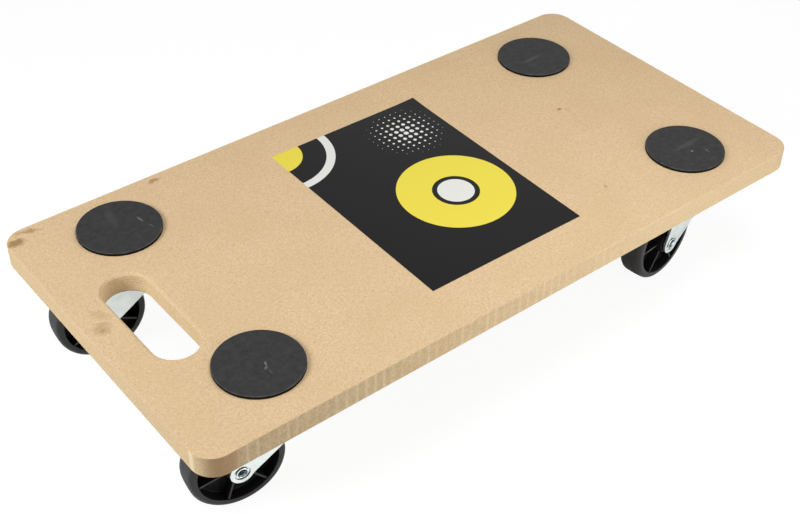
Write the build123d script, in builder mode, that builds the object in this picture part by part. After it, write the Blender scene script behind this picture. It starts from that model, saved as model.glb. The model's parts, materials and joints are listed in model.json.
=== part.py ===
from build123d import *
import os
from math import acos, atan2, cos, hypot, radians, sin, sqrt, tan

# Platform dolly: a board with a hand hole, rubber grip pads and a swivel caster under each corner.
# Millimetres. The origin is on the floor under the middle of the board. +X runs along the board, away
# from the hand hole, +Y runs across it and +Z is up. The hand hole's end is the front.

# Deck board: medium density fibreboard, routed to shape
deck_length = 580.0
deck_width = 290.0
deck_thickness = 18.0
deck_corner_radius = 18.0
deck_edge_break = 1.0
hand_hole_length = 103.0
hand_hole_width = 36.0
hand_hole_margin = 28.7
hand_hole_rim_radius = 3.0

# Grip pads: rubber discs, glued on by hand, so each lies a little off the square
pad_diameter = 66.0
pad_thickness = 2.5
pad_edge_break = 0.5
pad_end_inset = 78.0
pad_side_inset = 52.0
# How much further in from its end and its side each pad was put
pad_slips = {
    "front_left": (1.0, 3.5),
    "front_right": (0.0, -6.0),
    "rear_left": (-1.0, 0.0),
    "rear_right": (-0.5, 2.0),
}

# Label: a printed sheet stuck on the deck
label_width = 148.0
label_length = 210.0
label_thickness = 0.15
label_centre_x = 6.8
label_centre_y = 1.3
label_turn = -0.5

# Where the casters stand: the set is screwed on a few millimetres off the deck's centre lines
caster_end_inset = 77.5
caster_side_inset = 46.5
caster_shift_x = 2.0
caster_shift_y = 4.0
# End, side, heading of the trailing wheel and how far the wheel has rolled, for each caster
casters = {
    "front_left": (-1, -1, 170.9, -3.0),
    "front_right": (-1, 1, 173.5, 20.0),
    "rear_left": (1, -1, 187.6, 42.5),
    "rear_right": (1, 1, 181.5, -10.0),
}

# Wheel: one polypropylene moulding with a web and ribs on both sides
wheel_diameter = 75.0
wheel_width = 21.0
wheel_shoulder = 3.5
wheel_crown = 0.5
wheel_tread_flat = 6.3
wheel_rim_wall = 6.3
wheel_web_thickness = 3.5
wheel_hub_diameter = 22.0
wheel_draft = 0.8
wheel_rib_count = 6
wheel_rib_thickness = 1.8
wheel_rib_setback = 0.7
wheel_rib_start = -45.0

# Axle: a tubular rivet through a steel sleeve that the wheel turns on
trail_length = 28.0
axle_diameter = 6.2
axle_bore = 3.4
axle_head_diameter = 9.4
axle_head_height = 1.6
axle_head_bevel = 0.7
sleeve_diameter = 10.0

# Fork: pressed from steel sheet
fork_sheet = 2.0
fork_bend_radius = 2.5
fork_inside_width = 29.0
fork_flare = 4.0
fork_flare_low = 9.0
fork_flare_high = 23.0
fork_front = 22.0
fork_rear = 21.0
leg_end_radius = 9.2
leg_edge_offset = 8.1
leg_slope = 36.0
leg_waist_radius = 6.0
leg_knee_radius = 8.0
dish_diameter = 12.5
dish_depth = 1.2
dish_wall = 0.8

# Swivel head: two rows of balls, above and below the fork's crown, closed by the king pin
ball_diameter = 5.0
upper_race_radius = 20.0
upper_ball_count = 18
lower_race_radius = 11.0
lower_ball_count = 10
race_depth = 1.2
race_slope = 30.0
crown_lip = 2.4
cup_sheet = 2.0
king_pin_diameter = 9.0
king_collar_diameter = 13.0
king_head_diameter = 16.0
king_head_height = 2.5
wheel_headroom = 2.8

# Mounting plate and its screws
plate_thickness = 2.5
plate_edge = 7.0
plate_corner_radius = 5.0
slot_length = 8.0
slot_width = 5.0
screw_diameter = 4.0
screw_length = 15.0
screw_tip = 4.0
screw_head_diameter = 8.4
screw_head_height = 2.4
screw_head_round = 1.0

# Clearances
press_clearance = 0.02
axle_clearance = 0.05
wheel_bore_clearance = 0.08
hub_side_clearance = 0.4
race_clearance = 0.1
ball_lip_clearance = 0.5
swivel_gap = 0.8
king_pin_clearance = 1.0
pilot_clearance = 0.05
pilot_end_clearance = 1.0
screw_head_clearance = 2.3


# Heights above the floor, from the wheel up to the pads
wheel_radius = wheel_diameter / 2
ball_radius = ball_diameter / 2
race_section = (ball_radius + race_clearance) / cos(radians(race_slope))
race_gap = 2 * (race_section - race_depth)
king_head_under = wheel_diameter + wheel_headroom
cup_under = king_head_under + king_head_height
cup_top = cup_under + cup_sheet
crown_under = cup_top + race_gap
crown_top = crown_under + fork_sheet
plate_under = crown_top + race_gap
deck_bottom = plate_under + plate_thickness
deck_top = deck_bottom + deck_thickness
lower_ball_height = (cup_top + crown_under) / 2
upper_ball_height = (crown_top + plate_under) / 2

# Radii about the swivel axis
crown_radius = upper_race_radius + ball_radius + ball_lip_clearance + crown_lip
cup_radius = lower_race_radius + ball_radius + ball_lip_clearance + cup_sheet
screw_circle = crown_radius + screw_head_clearance + screw_head_diameter / 2
screw_pitch = screw_circle * sqrt(2)
plate_size = screw_pitch + 2 * plate_edge

# Widths along the axle, from the wheel's middle plane
leg_inner = fork_inside_width / 2
leg_outer = leg_inner + fork_sheet
dish_floor = leg_outer - dish_depth
sleeve_half = leg_inner - dish_depth
hub_half = sleeve_half - hub_side_clearance

# Planes and axes of a caster in its own frame: swivel axis on Z, floor at zero, wheel trailing to +X
axle_plane = Plane(origin=(trail_length, 0, wheel_radius), x_dir=(1, 0, 0), z_dir=(0, 1, 0))
axle_section = Plane(origin=axle_plane.origin, x_dir=(1, 0, 0), z_dir=(0, 0, 1))
axle_axis = Axis(axle_plane.origin, (0, 1, 0))


def caster_spot(end, side):
    """Where the swivel axis of the caster at that end and side meets the floor."""
    return (
        caster_shift_x + end * (deck_length / 2 - caster_end_inset),
        caster_shift_y + side * (deck_width / 2 - caster_side_inset),
    )


def save(part, name):
    """Names a finished piece and writes it as its own file."""
    part.label = name
    export_step(part, f"parts/{name}.step")


def ring_of_balls(height, radius, count):
    """A full row of balls about the swivel axis. Each ball has 26 flats, which keeps the rows light."""
    flat_share = sqrt(2) - 1
    side = 2 * ball_radius / sqrt(1 + 2 * flat_share**2)
    with BuildPart() as ball:
        Box(side, side, side)
        chamfer(ball.edges(), side * (1 - flat_share) / 2)
    with BuildPart(Plane.XY.offset(height)) as row:
        with PolarLocations(radius, count):
            add(ball.part)
    return row.part


def ball_track(radius, face, depth):
    """The ring that a V-shaped ball track takes out of a face at that height, upwards if depth is positive."""
    half_width = race_depth / tan(radians(race_slope))
    with BuildPart() as track:
        with BuildSketch(Plane.XZ):
            Polygon(
                (radius - half_width, face),
                (radius + half_width, face),
                (radius, face + depth),
                align=None,
            )
        revolve(axis=Axis.Z)
    return track.part


os.makedirs("parts", exist_ok=True)

# Deck board, with the hand hole and the blind holes that the caster screws cut from below
with BuildPart() as deck_board:
    with BuildSketch(Plane.XY.offset(deck_bottom)):
        RectangleRounded(deck_length, deck_width, deck_corner_radius)
        with Locations((-deck_length / 2 + hand_hole_margin + hand_hole_width / 2, 0)):
            SlotOverall(hand_hole_length, hand_hole_width, rotation=90, mode=Mode.SUBTRACT)
    extrude(amount=deck_thickness)
    broad_faces = deck_board.faces().filter_by(Axis.Z)
    hole_rims = [edge for face in broad_faces for edge in face.inner_wires()[0].edges()]
    outline_rims = [edge for face in broad_faces for edge in face.outer_wire().edges()]
    fillet(hole_rims, hand_hole_rim_radius)
    chamfer(outline_rims, deck_edge_break)
    with BuildSketch(Plane.XY.offset(deck_bottom)):
        for end, side, heading, roll in casters.values():
            with Locations(caster_spot(end, side)):
                with GridLocations(screw_pitch, screw_pitch, 2, 2):
                    Circle(screw_diameter / 2 + pilot_clearance)
    extrude(amount=screw_length - plate_thickness + pilot_end_clearance, mode=Mode.SUBTRACT)
save(deck_board.part, "deck_board")

# Grip pads
for corner, (end_slip, side_slip) in pad_slips.items():
    end, side, heading, roll = casters[corner]
    pad_x = end * (deck_length / 2 - pad_end_inset - end_slip)
    pad_y = side * (deck_width / 2 - pad_side_inset - side_slip)
    with BuildPart() as grip_pad:
        with BuildSketch(Plane.XY.offset(deck_top)):
            with Locations((pad_x, pad_y)):
                Circle(pad_diameter / 2)
        extrude(amount=pad_thickness)
        chamfer(grip_pad.faces().sort_by(Axis.Z)[-1].edges(), pad_edge_break)
    save(grip_pad.part, f"{corner}_grip_pad")

# Label sheet
with BuildPart() as label_sheet:
    with BuildSketch(Plane.XY.offset(deck_top)):
        with Locations((label_centre_x, label_centre_y)):
            Rectangle(label_width, label_length, rotation=label_turn)
    extrude(amount=label_thickness)
save(label_sheet.part, "label_sheet")

# Mounting plate: square, with a slotted hole near each corner and the upper ball track on its underside
with BuildPart() as mounting_plate:
    with BuildSketch(Plane.XY.offset(plate_under)):
        RectangleRounded(plate_size, plate_size, plate_corner_radius)
        with GridLocations(screw_pitch, screw_pitch, 2, 2):
            SlotOverall(slot_length, slot_width, mode=Mode.SUBTRACT)
        Circle(king_pin_diameter / 2 + press_clearance, mode=Mode.SUBTRACT)
    extrude(amount=plate_thickness)
    add(ball_track(upper_race_radius, plate_under, race_depth), mode=Mode.SUBTRACT)

# King pin: a shouldered rivet that clamps the cup to the plate, with the fork's crown free between them
with BuildPart() as king_pin:
    with BuildSketch(Plane.XZ) as king_pin_profile:
        Polygon(
            (0, king_head_under),
            (king_head_diameter / 2, king_head_under),
            (king_head_diameter / 2, cup_under),
            (king_pin_diameter / 2, cup_under),
            (king_pin_diameter / 2, cup_top),
            (king_collar_diameter / 2, cup_top),
            (king_collar_diameter / 2, plate_under),
            (king_pin_diameter / 2, plate_under),
            (king_pin_diameter / 2, deck_bottom),
            (0, deck_bottom),
            align=None,
        )
        head_corner = (king_head_diameter / 2, king_head_under)
        chamfer(king_pin_profile.vertices().sort_by_distance(head_corner)[0], king_head_height / 2)
    revolve(axis=Axis.Z)

# Race cup: a dished washer under the crown that carries the lower row of balls
with BuildPart() as race_cup:
    with BuildSketch(Plane.XZ) as race_cup_profile:
        Polygon(
            (king_pin_diameter / 2 + press_clearance, cup_under),
            (cup_radius, cup_under),
            (cup_radius, crown_under - swivel_gap),
            (cup_radius - cup_sheet, crown_under - swivel_gap),
            (cup_radius - cup_sheet, cup_top),
            (king_pin_diameter / 2 + press_clearance, cup_top),
            align=None,
        )
        chamfer(race_cup_profile.vertices().sort_by_distance((cup_radius, cup_under))[0], cup_sheet / 2)
    revolve(axis=Axis.Z)
    add(ball_track(lower_race_radius, cup_top, -race_depth), mode=Mode.SUBTRACT)

# Fork: a channel bent from sheet and trimmed to the legs' side view, under a round crown with a raised lip
leg_top = (fork_rear, crown_top)
to_leg_top = (leg_top[0] - trail_length, leg_top[1] - wheel_radius)
rear_turn = atan2(to_leg_top[1], to_leg_top[0]) - acos(leg_end_radius / hypot(*to_leg_top))
slope_normal = (-sin(radians(leg_slope)), -cos(radians(leg_slope)))
slope_run = (-cos(radians(leg_slope)), sin(radians(leg_slope)))
axle_centre = (trail_length, wheel_radius)
slope_foot = (
    trail_length + leg_edge_offset * slope_normal[0],
    wheel_radius + leg_edge_offset * slope_normal[1],
)
knee = (-fork_front, slope_foot[1] + (slope_foot[0] + fork_front) * tan(radians(leg_slope)))
waist_run = sqrt(leg_end_radius**2 - leg_edge_offset**2)
waist = (slope_foot[0] + waist_run * slope_run[0], slope_foot[1] + waist_run * slope_run[1])
rear_tangent = (trail_length + leg_end_radius * cos(rear_turn), wheel_radius + leg_end_radius * sin(rear_turn))
flare_outer = leg_outer + fork_flare
flare_start = wheel_radius + leg_end_radius + fork_flare_low
flare_end = wheel_radius + leg_end_radius + fork_flare_high
channel_foot = wheel_radius - 2 * leg_end_radius
with BuildPart() as fork:
    with BuildSketch(Plane.YZ) as channel:
        Polygon(
            (leg_outer, channel_foot),
            (leg_outer, flare_start),
            (flare_outer, flare_end),
            (flare_outer, crown_top),
            (-flare_outer, crown_top),
            (-flare_outer, flare_end),
            (-leg_outer, flare_start),
            (-leg_outer, channel_foot),
            align=None,
        )
        bends = channel.vertices().filter_by_position(Axis.Y, flare_start, crown_top)
        fillet(bends, fork_bend_radius + fork_sheet)
        offset(amount=-fork_sheet, mode=Mode.SUBTRACT)
    extrude(amount=trail_length + 2 * leg_end_radius + fork_front, both=True)
    with BuildSketch(Plane.XZ) as side_view:
        Polygon((-fork_front, crown_top), knee, slope_foot, axle_centre, rear_tangent, leg_top, align=None)
        with Locations(axle_centre):
            Circle(leg_end_radius)
        fillet(side_view.vertices().sort_by_distance(waist)[0], leg_waist_radius)
        fillet(side_view.vertices().sort_by_distance(knee)[0], leg_knee_radius)
    extrude(amount=flare_outer, both=True, mode=Mode.INTERSECT)
    with BuildSketch(Plane.XZ) as crown_profile:
        Polygon(
            (0, crown_under),
            (crown_radius, crown_under),
            (crown_radius, plate_under - swivel_gap),
            (crown_radius - crown_lip, plate_under - swivel_gap),
            (crown_radius - crown_lip, crown_top),
            (0, crown_top),
            align=None,
        )
        chamfer(crown_profile.vertices().sort_by_distance((crown_radius, crown_under))[0], crown_lip / 2)
    revolve(axis=Axis.Z)
    with BuildSketch(Plane.XY.offset(crown_under)):
        Circle(king_collar_diameter / 2 + king_pin_clearance)
    extrude(amount=fork_sheet, mode=Mode.SUBTRACT)
    add(ball_track(upper_race_radius, crown_top, -race_depth), mode=Mode.SUBTRACT)
    add(ball_track(lower_race_radius, crown_under, race_depth), mode=Mode.SUBTRACT)
    for side in (-1, 1):
        with BuildSketch(Plane(origin=axle_plane.origin + (0, side * leg_inner, 0), z_dir=(0, -side, 0))):
            Circle(dish_diameter / 2 + dish_wall)
        extrude(amount=dish_depth)
        with BuildSketch(Plane(origin=axle_plane.origin + (0, side * leg_outer, 0), z_dir=(0, -side, 0))):
            Circle(dish_diameter / 2)
        extrude(amount=dish_depth, mode=Mode.SUBTRACT)
    with BuildSketch(axle_plane):
        Circle(axle_diameter / 2 + axle_clearance)
    extrude(amount=leg_outer, both=True, mode=Mode.SUBTRACT)

# Axle rivet: a tube rolled over at both ends, in the dishes of the fork's legs
head_end = dish_floor + axle_head_height
with BuildPart() as axle_rivet:
    with BuildSketch(axle_section) as rivet_profile:
        Polygon(
            (axle_bore / 2, -head_end),
            (axle_head_diameter / 2, -head_end),
            (axle_head_diameter / 2, -dish_floor),
            (axle_diameter / 2, -dish_floor),
            (axle_diameter / 2, dish_floor),
            (axle_head_diameter / 2, dish_floor),
            (axle_head_diameter / 2, head_end),
            (axle_bore / 2, head_end),
            align=None,
        )
        rolled_ends = rivet_profile.vertices().group_by(Axis.Y)
        chamfer(rolled_ends[0] + rolled_ends[-1], axle_head_bevel)
    revolve(axis=axle_axis)

# Axle sleeve, held between the two legs
with BuildPart() as axle_sleeve:
    with BuildSketch(axle_plane):
        Circle(sleeve_diameter / 2)
        Circle(axle_diameter / 2 + axle_clearance, mode=Mode.SUBTRACT)
    extrude(amount=sleeve_half, both=True)

# Wheel: rim, web and hub turned as one section, then the ribs on both sides of the web
wheel_bore_radius = sleeve_diameter / 2 + wheel_bore_clearance
hub_radius = wheel_hub_diameter / 2
web_half = wheel_web_thickness / 2
wheel_half = wheel_width / 2
rim_mouth_radius = wheel_radius - wheel_rim_wall
rim_root_radius = rim_mouth_radius - wheel_draft
shoulder_step = wheel_shoulder * (1 - cos(radians(45)))
half_outline = [
    (wheel_bore_radius, hub_half),
    (hub_radius - wheel_draft, hub_half),
    (hub_radius, web_half),
    (rim_root_radius, web_half),
    (rim_mouth_radius, wheel_half),
    (wheel_radius - wheel_crown - wheel_shoulder, wheel_half),
    (wheel_radius - wheel_crown - shoulder_step, wheel_half - shoulder_step),
    (wheel_radius - wheel_crown, wheel_half - wheel_shoulder),
    (wheel_radius, wheel_tread_flat / 2),
]
other_half = [(radius, -along) for radius, along in reversed(half_outline)]
with BuildPart() as wheel:
    with BuildSketch(axle_section):
        Polygon(*half_outline, *other_half, align=None)
    revolve(axis=axle_axis)
    with BuildSketch(axle_plane):
        with PolarLocations((hub_radius + rim_root_radius) / 2, wheel_rib_count, start_angle=wheel_rib_start):
            Rectangle(rim_root_radius - hub_radius + 2 * wheel_draft, wheel_rib_thickness)
    extrude(amount=wheel_half - wheel_rib_setback, both=True)

# Plate screws: pan-head wood screws driven up into the deck, the same four on every plate
with BuildPart() as screw:
    with BuildSketch(Plane.XZ) as screw_profile:
        Polygon(
            (0, plate_under - screw_head_height),
            (screw_head_diameter / 2, plate_under - screw_head_height),
            (screw_head_diameter / 2, plate_under),
            (screw_diameter / 2, plate_under),
            (screw_diameter / 2, plate_under + screw_length - screw_tip),
            (0, plate_under + screw_length),
            align=None,
        )
        head_corner = (screw_head_diameter / 2, plate_under - screw_head_height)
        chamfer(screw_profile.vertices().sort_by_distance(head_corner)[0], screw_head_round)
    revolve(axis=Axis.Z)
with BuildPart() as plate_screws:
    with GridLocations(screw_pitch, screw_pitch, 2, 2):
        add(screw.part)

upper_balls = ring_of_balls(upper_ball_height, upper_race_radius, upper_ball_count)
lower_balls = ring_of_balls(lower_ball_height, lower_race_radius, lower_ball_count)

# Each caster: what is fixed to the deck stands square to it, and the rest is turned to its heading
fixed_pieces = {
    "mounting_plate": mounting_plate.part,
    "king_pin": king_pin.part,
    "race_cup": race_cup.part,
    "plate_screws": plate_screws.part,
}
turned_pieces = {
    "fork": fork.part,
    "axle_rivet": axle_rivet.part,
    "axle_sleeve": axle_sleeve.part,
    "upper_balls": upper_balls,
    "lower_balls": lower_balls,
}
for corner, (end, side, heading, roll) in casters.items():
    stand = Location((*caster_spot(end, side), 0))
    trailing = Location((*caster_spot(end, side), 0), (0, 0, heading))
    for name, piece in fixed_pieces.items():
        save(piece.moved(stand), f"{corner}_{name}")
    for name, piece in turned_pieces.items():
        save(piece.moved(trailing), f"{corner}_{name}")
    save(wheel.part.rotate(axle_axis, roll).moved(trailing), f"{corner}_wheel")
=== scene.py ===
import json
from math import atan2, cos, pi, radians, sin, sqrt, tan

import bmesh
import bpy
from mathutils import Matrix, Vector


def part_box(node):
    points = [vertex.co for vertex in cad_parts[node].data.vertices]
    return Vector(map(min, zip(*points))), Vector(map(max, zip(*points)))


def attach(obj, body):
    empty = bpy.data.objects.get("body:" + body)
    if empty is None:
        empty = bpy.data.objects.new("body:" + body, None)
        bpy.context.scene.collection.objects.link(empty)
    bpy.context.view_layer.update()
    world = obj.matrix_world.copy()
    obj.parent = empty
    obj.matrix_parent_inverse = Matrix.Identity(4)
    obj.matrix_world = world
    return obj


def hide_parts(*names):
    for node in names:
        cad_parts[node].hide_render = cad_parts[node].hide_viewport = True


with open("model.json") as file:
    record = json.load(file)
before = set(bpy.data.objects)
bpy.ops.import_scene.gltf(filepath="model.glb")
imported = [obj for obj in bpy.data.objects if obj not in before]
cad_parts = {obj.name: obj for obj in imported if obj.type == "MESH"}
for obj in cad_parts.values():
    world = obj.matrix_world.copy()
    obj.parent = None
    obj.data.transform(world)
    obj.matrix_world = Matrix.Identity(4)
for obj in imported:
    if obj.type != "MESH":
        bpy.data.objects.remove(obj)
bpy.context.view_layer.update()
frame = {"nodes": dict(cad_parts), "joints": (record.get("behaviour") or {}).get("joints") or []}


# Deck board: one panel of raw medium density fibreboard, sawn to size, with routed corners and a routed hand hole.
# The broad faces come sanded from the mill. The edges show the softer core, with chatter marks from the cutter.
def linear(hex_colour):
    """Linear red, green, blue and alpha of an sRGB hex colour."""
    shares = [int(hex_colour[i:i + 2], 16) / 255 for i in (1, 3, 5)]
    return (*[s / 12.92 if s <= 0.04045 else ((s + 0.055) / 1.055) ** 2.4 for s in shares], 1.0)


def add_node(material, kind, inputs=None, **settings):
    """Adds a shader node. Each input takes a value, or the output socket of another node."""
    node = material.node_tree.nodes.new("ShaderNode" + kind)
    for name, value in settings.items():
        setattr(node, name, value)
    for name, value in (inputs or {}).items():
        if isinstance(value, bpy.types.NodeSocket):
            material.node_tree.links.new(value, node.inputs[name])
        else:
            node.inputs[name].default_value = value
    return node


def new_material(name, **constants):
    """A material with its surface shader, whose constant inputs are set."""
    material = bpy.data.materials.new(name)
    material.use_nodes = True
    shader = material.node_tree.nodes["Principled BSDF"]
    for socket, value in constants.items():
        shader.inputs[socket.replace("_", " ")].default_value = value
    return material, shader


def drive(material, shader, **sources):
    """Links outputs of nodes to inputs of the surface shader."""
    for socket, output in sources.items():
        material.node_tree.links.new(output, shader.inputs[socket.replace("_", " ")])


def only(kind, items):
    """The verts, edges or faces among what an operator returned."""
    return [item for item in items if isinstance(item, kind)]


def cut_panel(length, width, thickness, corner_radius, holes, facets=64):
    """A flat panel with its top at zero, round corners and holes right through it. A hole is its x and y, its
    radius, and how far its halves are moved out from its middle along x and along y to make it a slot."""
    panel = bmesh.new()
    bmesh.ops.create_grid(panel, x_segments=1, y_segments=1, size=0.5)
    bmesh.ops.scale(panel, vec=(length, width, 1.0), verts=panel.verts)
    bmesh.ops.bevel(
        panel, geom=panel.verts[:], offset=corner_radius, segments=12, profile=0.5, affect="VERTICES", material=-1
    )
    bmesh.ops.delete(panel, geom=panel.faces[:], context="FACES_ONLY")
    for x, y, radius, slot_x, slot_y in holes:
        rim = bmesh.ops.create_circle(panel, segments=facets, radius=radius)["verts"]
        bmesh.ops.rotate(panel, verts=rim, matrix=Matrix.Rotation(pi / facets, 3, "Z"))
        for vert in rim:
            vert.co.x += x + (slot_x if vert.co.x > 0 else -slot_x)
            vert.co.y += y + (slot_y if vert.co.y > 0 else -slot_y)
    bmesh.ops.triangle_fill(panel, use_beauty=True, edges=panel.edges[:])
    bmesh.ops.dissolve_limit(panel, angle_limit=radians(1), verts=panel.verts[:], edges=panel.edges[:])
    under = bmesh.ops.extrude_face_region(panel, geom=panel.faces[:], use_keep_orig=True)["geom"]
    bmesh.ops.translate(panel, verts=only(bmesh.types.BMVert, under), vec=(0, 0, -thickness))
    bmesh.ops.recalc_face_normals(panel, faces=panel.faces)
    return panel


# Points that are closer than this, in metres, count as one.
hair = 1e-6


def sharp_rims(shape, centre=None, reach=0.0, least_turn=radians(60)):
    """Level edges between a broad face and a wall, within reach of a centre where one is given."""
    rims = [edge for edge in shape.edges if abs(edge.verts[0].co.z - edge.verts[1].co.z) < hair]
    rims = [edge for edge in rims if edge.is_manifold and edge.calc_face_angle() > least_turn]
    if centre is None:
        return rims
    return [edge for edge in rims if all((vert.co.xy - centre).length < reach for vert in edge.verts)]


def make_piece(shape, name, body, materials, replaced, sharp_angle=35):
    """Makes a finished bmesh a piece that rides on a body and stands for CAD nodes."""
    mesh = bpy.data.meshes.new(name)
    shape.to_mesh(mesh)
    shape.free()
    for material in materials:
        mesh.materials.append(material)
    mesh.shade_smooth()
    mesh.set_sharp_from_angle(angle=radians(sharp_angle))
    piece = bpy.data.objects.new(name, mesh)
    bpy.context.scene.collection.objects.link(piece)
    piece.modifiers.new("flat_faces_look_flat", "WEIGHTED_NORMAL").keep_sharp = True
    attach(piece, body)
    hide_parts(*replaced)
    return piece


deck_low, deck_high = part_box("deck_board")
deck_size = deck_high - deck_low
deck_corner_radius = 0.018
deck_rim_radius = 0.0006
hand_hole_length = 0.103
hand_hole_width = 0.036
hand_hole_inset = 0.0287
hand_hole_rim_radius = 0.003

hand_hole_x = deck_low.x + hand_hole_inset + hand_hole_width / 2
hand_hole_half_run = (hand_hole_length - hand_hole_width) / 2
board = cut_panel(
    deck_size.x,
    deck_size.y,
    deck_size.z,
    deck_corner_radius,
    [(hand_hole_x, 0, hand_hole_width / 2, 0, hand_hole_half_run)],
)
hole_rims = sharp_rims(board, Vector((hand_hole_x, 0)), hand_hole_length / 2 + deck_rim_radius)
bmesh.ops.bevel(
    board, geom=hole_rims, offset=hand_hole_rim_radius, segments=5, profile=0.5, affect="EDGES", material=-1
)
bmesh.ops.bevel(
    board, geom=sharp_rims(board), offset=deck_rim_radius, segments=3, profile=0.5, affect="EDGES", material=-1
)
bmesh.ops.translate(board, vec=(0, 0, deck_high.z), verts=board.verts)
for face in board.faces:
    face.material_index = 1 if abs(face.normal.z) < 0.5 else 0


def patches(material, place, colour, ink, width, spread, strength=1.0, detail=3.0, roughness=0.5):
    """Lays ink over a colour in soft patches of one width. The spread is where in the noise the ink sets in and where
    it has its full strength. Gives the new colour and the noise."""
    noise = add_node(
        material, "TexNoise", {"Vector": place, "Scale": 1 / width, "Detail": detail, "Roughness": roughness}
    ).outputs[0]
    cover = add_node(
        material, "MapRange", {"Value": noise, "From Min": spread[0], "From Max": spread[1], "To Max": strength}
    ).outputs[0]
    return add_node(material, "Mix", {0: cover, 6: colour, 7: ink}, data_type="RGBA").outputs[2], noise


def blots(material, place, colour, ink, depth, marks, core=0.4, fringe=1.25):
    """Lays soft blots of ink over a colour. A mark is its x, y and z in metres, its half length and half width in
    millimetres, its turn in degrees and its strength. The depth is how far up and down the blots reach. A blot is
    full in its core and gone at its fringe, both as shares of its half size."""
    for x, y, z, half_length, half_width, turn, strength in marks:
        own_axes = add_node(
            material,
            "Mapping",
            {
                "Vector": place,
                "Location": (x, y, z),
                "Rotation": (0, 0, radians(turn)),
                "Scale": (half_length / 1000, half_width / 1000, depth),
            },
            vector_type="TEXTURE",
        )
        away = add_node(material, "VectorMath", {0: own_axes.outputs[0]}, operation="LENGTH")
        cover = add_node(
            material,
            "MapRange",
            {"Value": away.outputs["Value"], "From Min": fringe, "From Max": core, "To Max": strength},
            interpolation_type="SMOOTHSTEP",
        )
        colour = add_node(material, "Mix", {0: cover.outputs[0], 6: colour, 7: ink}, data_type="RGBA").outputs[2]
    return colour


def wander(material, place, width, reach):
    """Points that stray by up to half the reach, so that what is drawn at them gets a ragged outline."""
    noise = add_node(material, "TexNoise", {"Vector": place, "Scale": 1 / width, "Detail": 3.0})
    stray = add_node(material, "VectorMath", {0: noise.outputs["Color"], 1: (0.5, 0.5, 0.5)}, operation="SUBTRACT")
    moved = add_node(
        material, "VectorMath", {0: stray.outputs[0], 1: (reach, reach, reach), 2: place}, operation="MULTIPLY_ADD"
    )
    return moved.outputs[0]


# Sanded fibreboard is matt, pale tan and even, with short fibres a little lighter or darker than the ground, brown
# flecks and slow clouds. The fibres are drawn 1.2 mm wide, coarser than real, or they would not show.
# Handling has left oil stains near the far edge, faint smudges by the hand hole and three dark specks.
fibre_width = 0.0012
fibre_relief = 0.0002
fleck_width = 0.0022
cloud_width = 0.06
stain_grain = 0.004
stain_depth = 0.006
deck_stains = [
    (-0.2826, 0.1312, deck_high.z, 8.0, 4.6, -8, 0.8),
    (-0.2690, 0.1386, deck_high.z, 11.0, 2.6, -20, 0.55),
    (-0.1600, 0.1372, deck_high.z, 5.5, 2.6, 8, 0.65),
    (-0.2775, 0.0075, deck_high.z, 8.2, 7.2, 60, 0.34),
    (-0.2784, 0.0053, deck_high.z, 1.6, 1.6, 0, 0.4),
    (-0.2720, 0.0210, deck_high.z, 9.5, 4.4, -55, 0.22),
    (-0.2810, -0.0103, deck_high.z, 3.6, 1.2, -52, 0.2),
    (0.1722, 0.0153, deck_high.z, 2.8, 2.2, 0, 0.8),
    (0.1777, 0.0107, deck_high.z, 1.8, 1.8, 0, 0.2),
    (0.1239, -0.0886, deck_high.z, 2.2, 2.0, 0, 0.45),
]
sanded_face, shader = new_material("fibreboard_sanded_face", Roughness=0.75, Specular_IOR_Level=0.3)
place = add_node(sanded_face, "TexCoord").outputs["Object"]
ground, fibres = patches(
    sanded_face, place, linear("#D6B488"), linear("#F0D5AC"), fibre_width, (0.3, 0.7), roughness=0.7
)
flecked, _ = patches(
    sanded_face, place, ground, linear("#C29E6E"), fleck_width, (0.58, 0.75), strength=0.5, detail=2.0
)
clouded, _ = patches(sanded_face, place, flecked, linear("#D8B98C"), cloud_width, (0.4, 0.75), strength=0.4)
ragged = wander(sanded_face, place, stain_grain, 2 * stain_grain)
face_colour = blots(sanded_face, ragged, clouded, linear("#96713B"), stain_depth, deck_stains)
grit = add_node(sanded_face, "Bump", {"Height": fibres, "Strength": 0.25, "Distance": fibre_relief})
drive(sanded_face, shader, Base_Color=face_colour, Normal=grit.outputs[0])

# Routed fibreboard shows its open core, mottled and a little yellower than the face. Pale upright strips, about 8 mm
# apart, are where the cutter jumped. They fade towards the deck's far end, where it ran steadier. In the hand hole
# and across the ends it went down in steps, which left faint level lines instead. The rounded near corner is
# painted brown as shade, beside a pale upright strip.
chatter_pitch = 0.0079
step_pitch = 0.0027
mottle_width = 0.004
torn_relief = 0.0003
through_edge = 4 * deck_size.z
jumping_stops = [(0.0, "#000000"), (0.03, "#000000"), (0.05, "#FFFFFF"), (0.5, "#D0D0D0"), (0.75, "#303030")]
painted_shade_corner = [(-0.2765, -0.1445, deck_high.z, 15.0, 12.0, 25, 0.6)]
pale_corner_strip = [(-0.2898, -0.1287, deck_high.z, 3.2, 2.6, 0, 0.9)]


def stepped(material, share, stops, interpolation):
    """Colours that follow one another along a share from 0 to 1. A stop is a share and the colour from there on."""
    ramp = add_node(material, "ValToRGB", {0: share})
    ramp.color_ramp.interpolation = interpolation
    while len(ramp.color_ramp.elements) < len(stops):
        ramp.color_ramp.elements.new(0.5)
    for element, (position, colour) in zip(ramp.color_ramp.elements, stops):
        element.position = position
        element.color = linear(colour)
    return ramp.outputs[0]


routed_edge, shader = new_material("fibreboard_routed_edge", Roughness=0.85, Specular_IOR_Level=0.2)
place = add_node(routed_edge, "TexCoord").outputs["Object"]
upright = add_node(routed_edge, "Mapping", {"Vector": place, "Scale": (1.0, 1.0, 0.1)}).outputs[0]
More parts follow.
